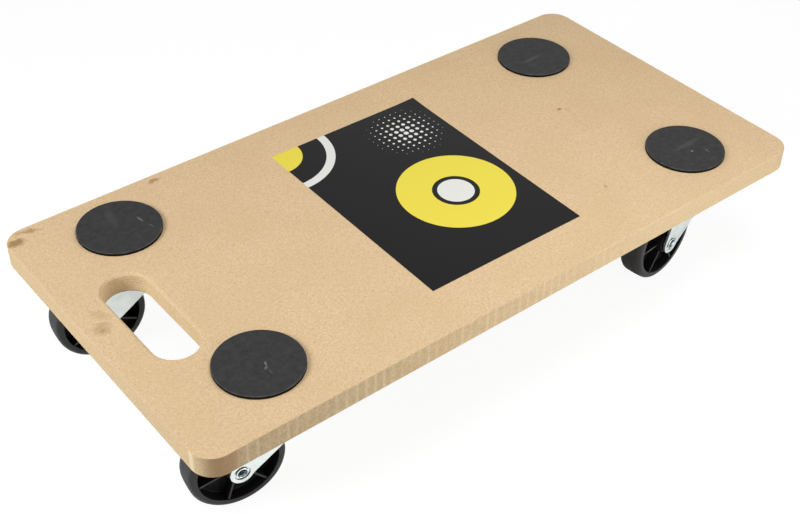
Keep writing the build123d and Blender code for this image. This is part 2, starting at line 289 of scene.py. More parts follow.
# At scale 1 the bands of a wave lie pi / 10 apart.
wave_pitch = pi / 10
strips = add_node(
    routed_edge,
    "TexWave",
    {"Vector": upright, "Scale": wave_pitch / chatter_pitch, "Distortion": 1.5, "Detail": 1.0},
    bands_direction="X",
).outputs[0]
strip = add_node(routed_edge, "MapRange", {"Value": strips, "From Min": 0.6, "From Max": 0.95}).outputs[0]
jumps = add_node(routed_edge, "TexNoise", {"Vector": upright, "Scale": 0.5 / chatter_pitch, "Detail": 1.0}).outputs[0]
force = add_node(
    routed_edge, "MapRange", {"Value": jumps, "From Min": 0.4, "From Max": 0.62, "To Min": 0.2, "To Max": 0.7}
).outputs[0]
struck = add_node(routed_edge, "Math", {0: force, 1: strip}, operation="MULTIPLY").outputs[0]
mottled, _ = patches(routed_edge, place, linear("#DDC297"), linear("#EED4AA"), mottle_width, (0.35, 0.65))
banded = add_node(routed_edge, "Mix", {0: struck, 6: mottled, 7: linear("#FFEBC4")}, data_type="RGBA").outputs[2]

edge_point = add_node(routed_edge, "SeparateXYZ", {0: place}).outputs
along_deck = add_node(
    routed_edge, "MapRange", {"Value": edge_point["X"], "From Min": deck_low.x, "From Max": deck_high.x}
).outputs[0]
jumping = stepped(routed_edge, along_deck, jumping_stops, "LINEAR")
from_middle = add_node(routed_edge, "Math", {0: edge_point["Y"]}, operation="ABSOLUTE").outputs[0]
outside_hole = add_node(
    routed_edge, "Math", {0: from_middle, 1: hand_hole_length}, operation="GREATER_THAN"
).outputs[0]
jumped = add_node(routed_edge, "Math", {0: jumping, 1: outside_hole}, operation="MULTIPLY").outputs[0]

steps = add_node(
    routed_edge, "TexWave", {"Vector": place, "Scale": wave_pitch / step_pitch, "Distortion": 1.5}, bands_direction="Z"
).outputs[0]
lined = add_node(
    routed_edge, "Mix", {0: steps, 6: linear("#F6DCB1"), 7: linear("#E9CFA4")}, data_type="RGBA"
).outputs[2]
unbanded = add_node(
    routed_edge, "Mix", {0: outside_hole, 6: lined, 7: linear("#F0D6AB")}, data_type="RGBA"
).outputs[2]
core = add_node(routed_edge, "Mix", {0: jumped, 6: unbanded, 7: banded}, data_type="RGBA").outputs[2]
fibred, fibres = patches(
    routed_edge, place, core, linear("#C4A074"), fibre_width, (0.4, 0.7), strength=0.6, roughness=0.7
)
# Painted shade: the rounded near corner is darkened brown, where less light reaches it.
shaded_corner_colour = blots(routed_edge, place, fibred, linear("#AE8457"), through_edge, painted_shade_corner)
edge_colour = blots(routed_edge, place, shaded_corner_colour, linear("#FFEBC4"), through_edge, pale_corner_strip)
torn = add_node(routed_edge, "Bump", {"Height": fibres, "Strength": 0.35, "Distance": torn_relief})
drive(routed_edge, shader, Base_Color=edge_colour, Normal=torn.outputs[0])

make_piece(board, "deck_panel", "deck", [sanded_face, routed_edge], ["deck_board"])


# Grip pads: four discs die cut from black rubber sheet and glued on the deck by hand.
# Their faces are painted grey, partly scuffs from handling and partly painted sheen, and the cut edge is painted black
# as shade.
def turned(outline, steps=64):
    """A lathe piece about Z from the corners of its half section: radius, height and how far each is rounded."""
    piece = bmesh.new()
    points = [piece.verts.new((radius, 0, height)) for radius, height, rounding in outline]
    piece.faces.new(points)
    for point, (radius, height, rounding) in zip(points, outline):
        if rounding:
            bmesh.ops.bevel(
                piece, geom=[point], offset=rounding, segments=4, profile=0.5, affect="VERTICES", material=-1
            )
    bmesh.ops.delete(piece, geom=piece.faces[:], context="FACES_ONLY")
    axis_edges = [edge for edge in piece.edges if all(vert.co.x < hair for vert in edge.verts)]
    bmesh.ops.delete(piece, geom=axis_edges, context="EDGES")
    section = [*piece.verts, *piece.edges]
    bmesh.ops.spin(piece, geom=section, cent=(0, 0, 0), axis=(0, 0, 1), angle=2 * pi, steps=steps, use_merge=True)
    bmesh.ops.remove_doubles(piece, verts=piece.verts, dist=hair)
    bmesh.ops.recalc_face_normals(piece, faces=piece.faces)
    return piece


def weathered(name, width, tones, spread=(0.0, 1.0), detail=2.0, dullness=None, **constants):
    """A material of two tones in soft patches of one width. Its roughness can follow the patches."""
    material, shader = new_material(name, **constants)
    place = add_node(material, "TexCoord").outputs["Object"]
    colour, noise = patches(material, place, linear(tones[0]), linear(tones[1]), width, spread, detail=detail)
    drive(material, shader, Base_Color=colour)
    if dullness:
        roughness = add_node(material, "MapRange", {"Value": noise, "To Min": dullness[0], "To Max": dullness[1]})
        drive(material, shader, Roughness=roughness.outputs[0])
    return material


# Filled rubber is dull near-black. Its face is painted grey in soft patches, partly scuffs and partly painted
# sheen, with a few pale scratches. The rim gets a pale painted highlight, and the cut edge near-black painted shade.
pad_rim_radius = 0.0006
scuff_width = 0.006
scratch_grain = 0.0012
scratch_depth = 0.003
rubber_grain = 0.0015
pebble_relief = 0.0002
pad_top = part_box("front_left_grip_pad")[1].z
pad_scratches = [
    (-0.2080, -0.0934, pad_top, 2.4, 0.8, 72, 0.6),
    (-0.2100, -0.0968, pad_top, 2.2, 1.1, 36, 0.4),
    (-0.2096, -0.1017, pad_top, 3.4, 0.5, 84, 0.2),
    (-0.1949, 0.0975, pad_top, 4.6, 0.9, 99, 0.45),
    (-0.1921, 0.0856, pad_top, 2.6, 0.8, 100, 0.25),
    (0.2137, -0.1000, pad_top, 1.0, 1.0, 0, 0.9),
    (0.2245, -0.1071, pad_top, 3.9, 0.6, 82, 0.35),
    (0.2168, -0.0907, pad_top, 18.0, 3.0, 2, 0.1),
    (0.2073, 0.0882, pad_top, 12.0, 2.6, 4, 0.12),
    (-0.2120, 0.1130, pad_top, 14.0, 4.0, 80, 0.07),
]
# The face's grey is partly painted sheen of the light from above, partly scuffs.
scuffs_and_painted_sheen, shader = new_material("rubber_face_scuffs_and_painted_sheen", Roughness=0.75, Specular_IOR_Level=0.2)
place = add_node(scuffs_and_painted_sheen, "TexCoord").outputs["Object"]
greyed, _ = patches(
    scuffs_and_painted_sheen,
    place,
    linear("#2B2B2B"),
    linear("#3B3B3B"),
    scuff_width,
    (0.35, 0.75),
    detail=6.0,
    roughness=0.65,
)
ragged = wander(scuffs_and_painted_sheen, place, scratch_grain, scratch_grain)
face_colour = blots(scuffs_and_painted_sheen, ragged, greyed, linear("#8C8C8C"), scratch_depth, pad_scratches)
grain = add_node(scuffs_and_painted_sheen, "TexNoise", {"Vector": place, "Scale": 1 / rubber_grain, "Detail": 2.0})
pebbles = add_node(scuffs_and_painted_sheen, "Bump", {"Height": grain.outputs[0], "Strength": 0.2, "Distance": pebble_relief})
drive(scuffs_and_painted_sheen, shader, Base_Color=face_colour, Normal=pebbles.outputs[0])
# Painted highlight: the rounded rim is made paler, where light catches it.
rim_painted_highlight = weathered(
    "rubber_rim_painted_highlight",
    scuff_width,
    ("#2A2A2A", "#4E4E4E"),
    spread=(0.35, 0.65),
    detail=3.0,
    Roughness=0.6,
    Specular_IOR_Level=0.3,
)
# Painted shade: the cut edge is made near-black.
cut_edge_painted_shade = weathered(
    "rubber_cut_edge_painted_shade", rubber_grain, ("#070707", "#100F0E"), Roughness=0.65, Specular_IOR_Level=0.1
)

joints = {joint["name"]: joint for joint in frame["joints"]}
corners = [name.removesuffix("_swivel") for name in joints if name.endswith("_swivel")]
for corner in corners:
    low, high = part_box(f"{corner}_grip_pad")
    pad_radius = (high.x - low.x) / 2
    pad_height = high.z - low.z
    pad = turned(
        [(0, 0, 0), (pad_radius, 0, 0), (pad_radius, pad_height, pad_rim_radius), (0, pad_height, 0)], steps=96
    )
    for face in pad.faces:
        face.material_index = 0 if face.normal.z > 0.99 else 1 if face.normal.z > 0.3 else 2
    bmesh.ops.translate(pad, vec=((low.x + high.x) / 2, (low.y + high.y) / 2, low.z), verts=pad.verts)
    make_piece(
        pad,
        f"{corner}_grip_disc",
        "deck",
        [scuffs_and_painted_sheen, rim_painted_highlight, cut_edge_painted_shade],
        [f"{corner}_grip_pad"],
    )


# Label: an A5 sheet of printed, laminated paper with a sticky back, laid on the middle of the deck.
# One far corner has come up a little. The print is plain shapes in black, yellow and white.
sheet_width = 0.148
sheet_length = 0.210
sheet_turn = radians(-0.5)
corner_lift = 0.0006
corner_lift_reach = 0.03
low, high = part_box("label_sheet")
sheet_middle = (low + high) / 2

sheet = bmesh.new()
bmesh.ops.create_grid(sheet, x_segments=24, y_segments=32, size=0.5)
bmesh.ops.scale(sheet, vec=(sheet_width, sheet_length, 1.0), verts=sheet.verts)
loose_corner = Vector((sheet_width / 2, sheet_length / 2, 0))
for vert in sheet.verts:
    rise = max(0.0, 1.0 - (vert.co - loose_corner).length / corner_lift_reach)
    vert.co.z = corner_lift * rise**2
under = bmesh.ops.extrude_face_region(sheet, geom=sheet.faces[:], use_keep_orig=True)["geom"]
bmesh.ops.translate(sheet, vec=(0, 0, low.z - high.z), verts=only(bmesh.types.BMVert, under))
bmesh.ops.recalc_face_normals(sheet, faces=sheet.faces)
bmesh.ops.rotate(sheet, verts=sheet.verts, matrix=Matrix.Rotation(sheet_turn, 3, "Z"))
bmesh.ops.translate(sheet, vec=(sheet_middle.x, sheet_middle.y, high.z), verts=sheet.verts)

# Matt laminated print is smooth over flat inks, with slow ripples where the glue took unevenly.
print_black = "#131313"
print_yellow = "#F4E252"
print_white = "#EDEDE8"
ripple_width = 0.03
ripple_relief = 0.0003
printed_sheet, shader = new_material("laminated_print", Roughness=0.45, Specular_IOR_Level=0.08)
place = add_node(printed_sheet, "TexCoord").outputs["Object"]
millimetres = add_node(
    printed_sheet,
    "Mapping",
    {
        "Vector": place,
        "Location": (*sheet_middle.xy, high.z),
        "Rotation": (0, 0, sheet_turn),
        "Scale": (0.001, 0.001, 1),
    },
    vector_type="TEXTURE",
).outputs[0]


def rings_print(centre, reach, stops):
    """Rings of ink about a point of the sheet. A stop is a share of the reach and the ink from there outwards."""
    away = add_node(printed_sheet, "VectorMath", {0: millimetres, 1: (*centre, 0.0)}, operation="DISTANCE")
    share = add_node(printed_sheet, "Math", {0: away.outputs["Value"], 1: reach}, operation="DIVIDE")
    return stepped(printed_sheet, share.outputs[0], stops, "CONSTANT")


def dots_print(centre, reach, pitch, ink):
    """Rows of round dots about a point of the sheet, which shrink to nothing at the reach."""
    away = add_node(printed_sheet, "VectorMath", {0: millimetres, 1: (*centre, 0.0)}, operation="DISTANCE")
    room = add_node(
        printed_sheet, "MapRange", {"Value": away.outputs["Value"], "From Max": reach, "To Min": 0.4, "To Max": 0.0}
    )
    rows = add_node(
        printed_sheet,
        "TexVoronoi",
        {"Vector": millimetres, "Scale": 1 / pitch, "Randomness": 0.0},
        voronoi_dimensions="2D",
    )
    dots = add_node(printed_sheet, "Math", {0: rows.outputs["Distance"], 1: room.outputs[0]}, operation="LESS_THAN")
    return add_node(
        printed_sheet, "Mix", {0: dots.outputs[0], 6: linear(print_black), 7: linear(ink)}, data_type="RGBA"
    ).outputs[2]


sun = rings_print(
    centre=(18.0, -21.0),
    reach=60.0,
    stops=[(0.0, print_white), (0.25, print_black), (0.32, print_yellow), (0.8, print_black)],
)
fan = rings_print(
    centre=(-74.0, 105.0),
    reach=90.0,
    stops=[(0.0, print_yellow), (0.28, print_black), (0.5, print_white), (0.58, print_black)],
)
halftone = dots_print(centre=(37.0, 68.0), reach=36.0, pitch=6.0, ink=print_white)
inks = sun
for motif in (fan, halftone):
    inks = add_node(
        printed_sheet, "Mix", {0: 1.0, 6: inks, 7: motif}, data_type="RGBA", blend_type="LIGHTEN"
    ).outputs[2]
ripples = add_node(printed_sheet, "TexNoise", {"Vector": place, "Scale": 1 / ripple_width})
rippled = add_node(printed_sheet, "Bump", {"Height": ripples.outputs[0], "Strength": 0.2, "Distance": ripple_relief})
drive(printed_sheet, shader, Base_Color=inks, Normal=rippled.outputs[0])
make_piece(sheet, "printed_sheet", "deck", [printed_sheet], ["label_sheet"])


# Caster heads: a square mounting plate, the king pin and the race cup that it holds, all steel with bright zinc.
# Four pan-head screws hold each plate up against the deck.

# Electroplated zinc is smooth, bright and faintly blue-green, with slow clouds of duller plate.
zinc_cloud = 0.012
bright_zinc = weathered(
    "bright_zinc_plate",
    zinc_cloud,
    ("#E1EBEA", "#EDF4F3"),
    spread=(0.35, 0.65),
    dullness=(0.24, 0.36),
    Metallic=1.0,
)

plate_corner_radius = 0.005
plate_rim_radius = 0.0003
plate_slot_length = 0.008
plate_slot_width = 0.005
plate_edge = 0.007
race_depth = 0.0012
race_half_width = race_depth / tan(radians(30))
race_margin = 0.001
upper_race_radius = 0.020
lower_race_radius = 0.011
king_pin_radius = 0.0045
king_collar_radius = 0.0065
king_head_radius = 0.008
king_dimple_radius = 0.0035
king_dimple_depth = 0.0008
king_dimple_round = 0.0006
king_head_edge = 0.0002
king_tip_round = 0.0003
heel_round = 0.0016
press_round = 0.0004
cup_radius = 0.016
cup_sheet = 0.002
swivel_gap = 0.0008
crown_sheet = 0.002
screw_shank_radius = 0.002
screw_head_radius = 0.0042
screw_head_height = 0.0024
screw_head_round = 0.0011
screw_seat_round = 0.0003
screw_face_radius = 0.00264
screw_tip = 0.004
recess_arm = 0.0022
recess_width = 0.0010
recess_depth = 0.0014
recess_taper = 0.6
first_screw_turn = 25
next_screw_turn = 70


def ring_step(shape, rim, radius, shift):
    """Draws a round rim of edges on to a new radius, moves it, and gives the new rim."""
    drawn = bmesh.ops.extrude_edge_only(shape, edges=rim)["geom"]
    verts = only(bmesh.types.BMVert, drawn)
    middle = sum((vert.co for vert in verts), Vector()) / len(verts)
    share = radius / (verts[0].co - middle).length
    bmesh.ops.scale(shape, vec=(share, share, share), verts=verts, space=Matrix.Translation(-middle))
    bmesh.ops.translate(shape, vec=shift, verts=verts)
    return [edge for edge in only(bmesh.types.BMEdge, drawn) if all(vert in verts for vert in edge.verts)]


def plate_shape(size, thickness):
    """A mounting plate with its top at zero: slots near its corners, and a ball race pressed in its underside."""
    spot = size / 2 - plate_edge
    run = (plate_slot_length - plate_slot_width) / 2
    slots = [(x * spot, y * spot, plate_slot_width / 2, run, 0) for x in (-1, 1) for y in (-1, 1)]
    race_rim = upper_race_radius + race_half_width
    shape = cut_panel(size, size, thickness, plate_corner_radius, [*slots, (0, 0, race_rim, 0, 0)])
    middle_wall = [face for face in shape.faces if face.calc_center_median().xy.length < race_rim + race_margin]
    middle_wall = [face for face in middle_wall if abs(face.normal.z) < 0.5]
    bmesh.ops.delete(shape, geom=middle_wall, context="FACES_ONLY")
    rim = [edge for edge in shape.edges if edge.is_boundary and edge.verts[0].co.z < -thickness / 2]
    for radius, rise in (
        (upper_race_radius, race_depth),
        (upper_race_radius - race_half_width, -race_depth),
        (king_pin_radius, 0),
        (king_pin_radius, thickness),
        (race_rim, 0),
    ):
        rim = ring_step(shape, rim, radius, (0, 0, rise))
    bmesh.ops.remove_doubles(shape, verts=shape.verts, dist=hair)
    bmesh.ops.recalc_face_normals(shape, faces=shape.faces)
    outer_rims = [edge for edge in sharp_rims(shape) if edge.verts[0].co.xy.length > race_rim + race_margin]
    bmesh.ops.bevel(
        shape, geom=outer_rims, offset=plate_rim_radius, segments=2, profile=0.5, affect="EDGES", material=-1
    )
    return shape


def screw_shape(length):
    """A pan-head wood screw on Z that points up, with the plate's underside at zero and a cross recess below."""
    shape = turned(
        [
            (screw_face_radius, -screw_head_height, 0),
            (screw_head_radius, -screw_head_height, screw_head_round),
            (screw_head_radius, 0, screw_seat_round),
            (screw_shank_radius, 0, 0),
            (screw_shank_radius, length - screw_tip, 0),
            (0, length, 0),
            (0, 0, 0),
        ],
        steps=24,
    )
    inner_cone = [face for face in shape.faces if face.calc_center_median().xy.length < recess_arm]
    inner_cone = [face for face in inner_cone if face.calc_center_median().z < 0]
    bmesh.ops.delete(shape, geom=inner_cone, context="FACES")
    mouth = [edge for edge in shape.edges if edge.is_boundary]
    level = Matrix.Translation((0, 0, -screw_head_height))
    cross = bmesh.ops.create_grid(shape, x_segments=1, y_segments=1, size=recess_width / 2, matrix=level)["verts"]
    sides = list({edge for vert in cross for edge in vert.link_edges})
    for side in sides:
        outward = Vector(((side.verts[0].co + side.verts[1].co) / 2).xy).normalized()
        arm = only(bmesh.types.BMVert, bmesh.ops.extrude_edge_only(shape, edges=[side])["geom"])
        bmesh.ops.translate(shape, vec=(*(outward * (recess_arm - recess_width / 2)), 0), verts=arm)
    recess = [face for face in shape.faces if face.calc_center_median().xy.length < recess_arm]
    recess = [face for face in recess if abs(face.calc_center_median().z + screw_head_height) < hair]
    sunk = only(bmesh.types.BMVert, bmesh.ops.extrude_face_region(shape, geom=recess)["geom"])
    bmesh.ops.delete(shape, geom=[face for face in recess if face.is_valid], context="FACES_ONLY")
    bmesh.ops.scale(shape, vec=(recess_taper, recess_taper, 1), verts=sunk)
    bmesh.ops.translate(shape, vec=(0, 0, recess_depth), verts=sunk)
    cross_mouth = [edge for edge in shape.edges if edge.is_boundary and edge not in mouth]
    bmesh.ops.triangle_fill(shape, use_beauty=True, edges=[*mouth, *cross_mouth])
    bmesh.ops.recalc_face_normals(shape, faces=shape.faces)
    return shape


def weld_on(shape, addition, place):
    """Sets a second shape in its place and takes it into the first."""
    bmesh.ops.transform(addition, matrix=place, verts=addition.verts)
    carrier = bpy.data.meshes.new("carrier")
    addition.to_mesh(carrier)
    addition.free()
    shape.from_mesh(carrier)
    bpy.data.meshes.remove(carrier)


def coat_node(name, material):
    """Gives a piece that keeps its CAD mesh its own material."""
    node_mesh = frame["nodes"][name].data
    node_mesh.materials.clear()
    node_mesh.materials.append(material)


for corner in corners:
    low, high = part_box(f"{corner}_mounting_plate")
    plate_under = low.z
    axis_place = Matrix.Translation(((low.x + high.x) / 2, (low.y + high.y) / 2, 0))
    plate_size = high.x - low.x
    plate = plate_shape(plate_size, high.z - low.z)
    bmesh.ops.transform(plate, matrix=axis_place @ Matrix.Translation((0, 0, high.z)), verts=plate.verts)
    make_piece(plate, f"{corner}_top_plate", "deck", [bright_zinc], [f"{corner}_mounting_plate"])

    pin_low, pin_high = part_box(f"{corner}_king_pin")
    cup_low, cup_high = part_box(f"{corner}_race_cup")
    cup_floor = cup_low.z + cup_sheet
    pin = turned(
        [
            (0, pin_low.z + king_dimple_depth, 0),
            (king_dimple_radius, pin_low.z + king_dimple_depth, king_dimple_round),
            (king_dimple_radius + king_dimple_depth, pin_low.z, king_dimple_round),
            (king_head_radius, pin_low.z, heel_round),
            (king_head_radius, cup_low.z, king_head_edge),
            (king_pin_radius, cup_low.z, 0),
            (king_pin_radius, cup_floor, 0),
            (king_collar_radius, cup_floor, 0),
            (king_collar_radius, plate_under, 0),
            (king_pin_radius, plate_under, 0),
            (king_pin_radius, pin_high.z, king_tip_round),
            (0, pin_high.z, 0),
        ]
    )
    bmesh.ops.transform(pin, matrix=axis_place, verts=pin.verts)
    make_piece(pin, f"{corner}_king_rivet", "deck", [bright_zinc], [f"{corner}_king_pin"])

    cup = turned(
        [
            (king_pin_radius, cup_low.z, 0),
            (cup_radius, cup_low.z, heel_round),
            (cup_radius, cup_high.z, press_round),
            (cup_radius - cup_sheet, cup_high.z, press_round),
            (cup_radius - cup_sheet, cup_floor, press_round),
            (lower_race_radius + race_half_width, cup_floor, 0),
            (lower_race_radius, cup_floor - race_depth, press_round),
            (lower_race_radius - race_half_width, cup_floor, 0),
            (king_pin_radius, cup_floor, 0),
        ]
    )
    bmesh.ops.transform(cup, matrix=axis_place, verts=cup.verts)
    make_piece(cup, f"{corner}_ball_cup", "deck", [bright_zinc], [f"{corner}_race_cup"])

    screws = bmesh.new()
    screw_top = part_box(f"{corner}_plate_screws")[1].z
    spot = plate_size / 2 - plate_edge
    for number, (x, y) in enumerate(((-1, -1), (1, -1), (1, 1), (-1, 1))):
        driven_turn = Matrix.Rotation(radians(first_screw_turn + next_screw_turn * number), 4, "Z")
        stand = axis_place @ Matrix.Translation((x * spot, y * spot, plate_under)) @ driven_turn
        weld_on(screws, screw_shape(screw_top - plate_under), stand)
    make_piece(screws, f"{corner}_wood_screws", "deck", [bright_zinc], [f"{corner}_plate_screws"])

    coat_node(f"{corner}_axle_sleeve", bright_zinc)


# Bearing balls: hardened steel, in two full rows on each swivel. They keep their CAD meshes.
# Ground and polished steel is bright and plain, with smears of grease that dull it in places.
smear_width = 0.003
ball_steel, shader = new_material("polished_bearing_steel", Metallic=1.0, Base_Color=linear("#C9CBCE"))
place = add_node(ball_steel, "TexCoord").outputs["Object"]
smear = add_node(ball_steel, "TexNoise", {"Vector": place, "Scale": 1 / smear_width, "Detail": 2.0})
grease = add_node(ball_steel, "MapRange", {"Value": smear.outputs[0], "To Min": 0.08, "To Max": 0.3})
drive(ball_steel, shader, Roughness=grease.outputs[0])
for corner in corners:
    coat_node(f"{corner}_upper_balls", ball_steel)
    coat_node(f"{corner}_lower_balls", ball_steel)


# Forks: each is one blank of steel sheet, cut to outline, bent into a channel that flares above the wheel, and plated.
# A shallow dish is pressed in round the axle on both legs. The crown is a round pan with a lip that guards the balls.
def caster_place(corner):
    """From a caster's own axes, with the swivel on Z and the wheel trailing to +X, to where it stands."""
    swivel = Vector(joints[f"{corner}_swivel"]["pos_m"])
    axle = Vector(joints[f"{corner}_roll"]["pos_m"])
    heading = atan2(axle.y - swivel.y, axle.x - swivel.x)
    return Matrix.Translation((swivel.x, swivel.y, 0)) @ Matrix.Rotation(heading, 4, "Z")


fork_sheet = 0.0019
leg_face = 0.0165
flare_width = 0.004
flare_low = 0.0557
flare_high = 0.0697
flare_margin = 0.001
crown_top = 0.0879
bend_radius = 0.0045
flange_reach = 0.0105
fork_front = 0.022
fork_rear = 0.021
axle_x = 0.028
axle_z = 0.0375
leg_end_radius = 0.0092
leg_edge_offset = 0.0081
leg_slope = radians(36)
knee_tangent = 0.0041
waist_tangent = 0.0015
dish_radius = 0.00625
dish_depth = 0.0012
dish_draft = 0.0004
rivet_hole_radius = 0.0032
crown_radius = 0.0254
crown_lip = 0.0024
crown_lip_round = 0.0006
crown_heel_round = 0.0014
crown_bore = 0.0075
crown_overlap = 0.00005


def fork_shape(plate_under):
    """A fork on the caster's own axes: one leg is cut, bent and mirrored, and the crown is laid over the flanges."""
    shape = bmesh.new()
    axle = Vector((axle_x, leg_face, axle_z))
    reach = Vector((fork_rear - axle_x, 0, crown_top - axle_z))
    rear_turn = atan2(reach.z, reach.x) - atan2(sqrt(reach.length**2 - leg_end_radius**2), leg_end_radius)
    waist_turn = -pi / 2 - leg_slope - atan2(sqrt(leg_end_radius**2 - leg_edge_offset**2), leg_edge_offset)
    foot = axle - leg_edge_offset * Vector((sin(leg_slope), 0, cos(leg_slope)))
    knee_z = foot.z + (foot.x + fork_front) * tan(leg_slope)
    start = shape.verts.new(axle + leg_end_radius * Vector((cos(rear_turn), 0, sin(rear_turn))))
    arc = bmesh.ops.spin(shape, geom=[start], cent=axle, axis=(0, 1, 0), angle=rear_turn - waist_turn, steps=24)
    waist = only(bmesh.types.BMVert, arc["geom_last"])[0]
    knee = shape.verts.new((-fork_front, leg_face, knee_z))
    flange_top = crown_top - crown_overlap
    front = shape.verts.new((-fork_front, leg_face, flange_top))
    rear = shape.verts.new((fork_rear, leg_face, flange_top))
    for pair in ((waist, knee), (knee, front), (front, rear), (rear, start)):
        shape.edges.new(pair)
    bmesh.ops.contextual_create(shape, geom=shape.edges[:])
    for corner_vert, tangent in ((knee, knee_tangent), (waist, waist_tangent)):
        bmesh.ops.bevel(
            shape, geom=[corner_vert], offset=tangent, segments=6, profile=0.5, affect="VERTICES", material=-1
        )
    for height in (flare_low - flare_margin, flare_low, flare_high):
        bmesh.ops.bisect_plane(
            shape, geom=[*shape.verts, *shape.edges, *shape.faces], plane_co=(0, 0, height), plane_no=(0, 0, 1)
        )
    foot_face = min(shape.faces, key=lambda face: face.calc_center_median().z)
    foot_edges = foot_face.edges[:]
    bmesh.ops.delete(shape, geom=[foot_face], context="FACES_ONLY")
    dish_place = Matrix.Translation(axle) @ Matrix.Rotation(pi / 2, 4, "X")
    rim = bmesh.ops.create_circle(shape, segments=48, radius=dish_radius, matrix=dish_place)["verts"]
    rim_edges = list({edge for vert in rim for edge in vert.link_edges})
    bmesh.ops.triangle_fill(shape, use_beauty=True, edges=[*foot_edges, *rim_edges])
    for radius, depth in ((dish_radius - dish_draft, dish_depth), (rivet_hole_radius, 0.0)):
        rim_edges = ring_step(shape, rim_edges, radius, (0, -depth, 0))
    for vert in shape.verts:
        vert.co.y += flare_width * min(max((vert.co.z - flare_low) / (flare_high - flare_low), 0), 1)
    top_edge = max(shape.edges, key=lambda edge: min(vert.co.z for vert in edge.verts))
    flange = only(bmesh.types.BMVert, bmesh.ops.extrude_edge_only(shape, edges=[top_edge])["geom"])
    bmesh.ops.translate(shape, vec=(0, flange_reach - leg_face - flare_width, 0), verts=flange)
    flare_tangent = bend_radius * tan(atan2(flare_width, flare_high - flare_low) / 2)
    for height, tangent in ((flare_low, flare_tangent), (flare_high, flare_tangent), (flange_top, bend_radius)):
        bends = [edge for edge in shape.edges if all(abs(vert.co.z - height) < hair for vert in edge.verts)]
        bends = [edge for edge in bends if len(edge.link_faces) == 2]
        bmesh.ops.bevel(shape, geom=bends, offset=tangent, segments=5, profile=0.5, affect="EDGES", material=-1)
    bmesh.ops.recalc_face_normals(shape, faces=shape.faces)
    outer_face = max(shape.faces, key=lambda face: face.calc_area())
    if outer_face.normal.y < 0:
        bmesh.ops.reverse_faces(shape, faces=shape.faces)
    bmesh.ops.solidify(shape, geom=shape.faces[:], thickness=fork_sheet)
    bmesh.ops.mirror(shape, geom=[*shape.verts, *shape.edges, *shape.faces], axis="Y", merge_dist=0)
    bmesh.ops.recalc_face_normals(shape, faces=shape.faces)
    crown_under = crown_top - crown_sheet
    lip_top = plate_under - swivel_gap
    crown = turned(
        [
            (crown_bore, crown_under, 0),
            (lower_race_radius - race_half_width, crown_under, 0),
            (lower_race_radius, crown_under + race_depth, press_round),
            (lower_race_radius + race_half_width, crown_under, 0),
            (crown_radius, crown_under, crown_heel_round),
            (crown_radius, lip_top, crown_lip_round),
            (crown_radius - crown_lip, lip_top, crown_lip_round),
            (crown_radius - crown_lip, crown_top, press_round),
            (upper_race_radius + race_half_width, crown_top, 0),
            (upper_race_radius, crown_top - race_depth, press_round),
            (upper_race_radius - race_half_width, crown_top, 0),
            (crown_bore, crown_top, 0),
        ],
        steps=96,
    )
    weld_on(shape, crown, Matrix.Identity(4))
    return shape


for corner in corners:
    fork = fork_shape(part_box(f"{corner}_mounting_plate")[0].z)
    bmesh.ops.transform(fork, matrix=caster_place(corner), verts=fork.verts)
    make_piece(fork, f"{corner}_fork_channel", f"{corner}_caster", [bright_zinc], [f"{corner}_fork"])


# Axle rivets: a steel tube through the fork and the wheel's sleeve, flared and rolled over in the dishes of the legs.
# It has the fork's bright zinc outside.
def axle_place(corner):
    """From the own axis of a turned piece, on Z, to where a caster's axle lies."""
    return caster_place(corner) @ Matrix.Translation((axle_x, 0, axle_z)) @ Matrix.Rotation(-pi / 2, 4, "X")


def both_halves(half):
    """A whole section from its upper half, which is mirrored in height."""
    return [*half, *[(radius, -height, rounding) for radius, height, rounding in reversed(half)]]


rivet_radius = 0.0031
rivet_bore = 0.0017
rivet_head_radius = 0.0047
rivet_head_height = 0.0016
rivet_head_round = 0.0009
rivet_mouth_radius = 0.0036
rivet_flare_depth = 0.0032
rivet_throat_round = 0.0008
shade_stop = 0.0002

# The heads' sides, sunk in the dishes, are painted near-black in streaks as the shade in the gap round each head.
streak_width = 0.002
rivet_head_painted_shade = weathered(
    "rivet_head_painted_shade", streak_width, ("#0D0F0E", "#2A2D2B"), dullness=(0.3, 0.6), Specular_IOR_Level=0.4
)

# Inside its flared mouths the tube is painted dark bluish as the shade of the deep bore, with painted bright glints.
glint_width = 0.0016
mouth_painted_shade_and_glints = weathered(
    "rivet_mouth_painted_shade_and_glints",
    glint_width,
    ("#0E1A22", "#B4C4CC"),
    spread=(0.38, 0.66),
    dullness=(0.2, 0.45),
    Metallic=1.0,
)

dish_floor = leg_face - dish_depth
rivet_end = dish_floor + rivet_head_height
half_rivet = [
    (rivet_bore, rivet_end - rivet_flare_depth, rivet_throat_round),
    (rivet_mouth_radius, rivet_end, press_round),
    (rivet_head_radius, rivet_end, rivet_head_round),
    (rivet_head_radius, dish_floor, press_round),
    (rivet_radius, dish_floor, 0),
]
for corner in corners:
    rivet = turned(both_halves(half_rivet), steps=48)
    for face in rivet.faces:
        middle = face.calc_center_median()
        outward = face.normal.xy.dot(middle.xy) / middle.xy.length
        # Painted shade: the outward sides of each head, down in the dish, are made black.
        in_dish_shade = outward > 0.4 and abs(middle.z) < rivet_end - shade_stop
        # Inward faces of the bore and mouth take the painted shade and glints (index 1).
        face.material_index = 1 if outward < -0.3 else 2 if in_dish_shade else 0
    bmesh.ops.transform(rivet, matrix=axle_place(corner), verts=rivet.verts)
    make_piece(
        rivet,
        f"{corner}_axle_tube",
        f"{corner}_caster",
        [bright_zinc, mouth_painted_shade_and_glints, rivet_head_painted_shade],
        [f"{corner}_axle_rivet"],
    )


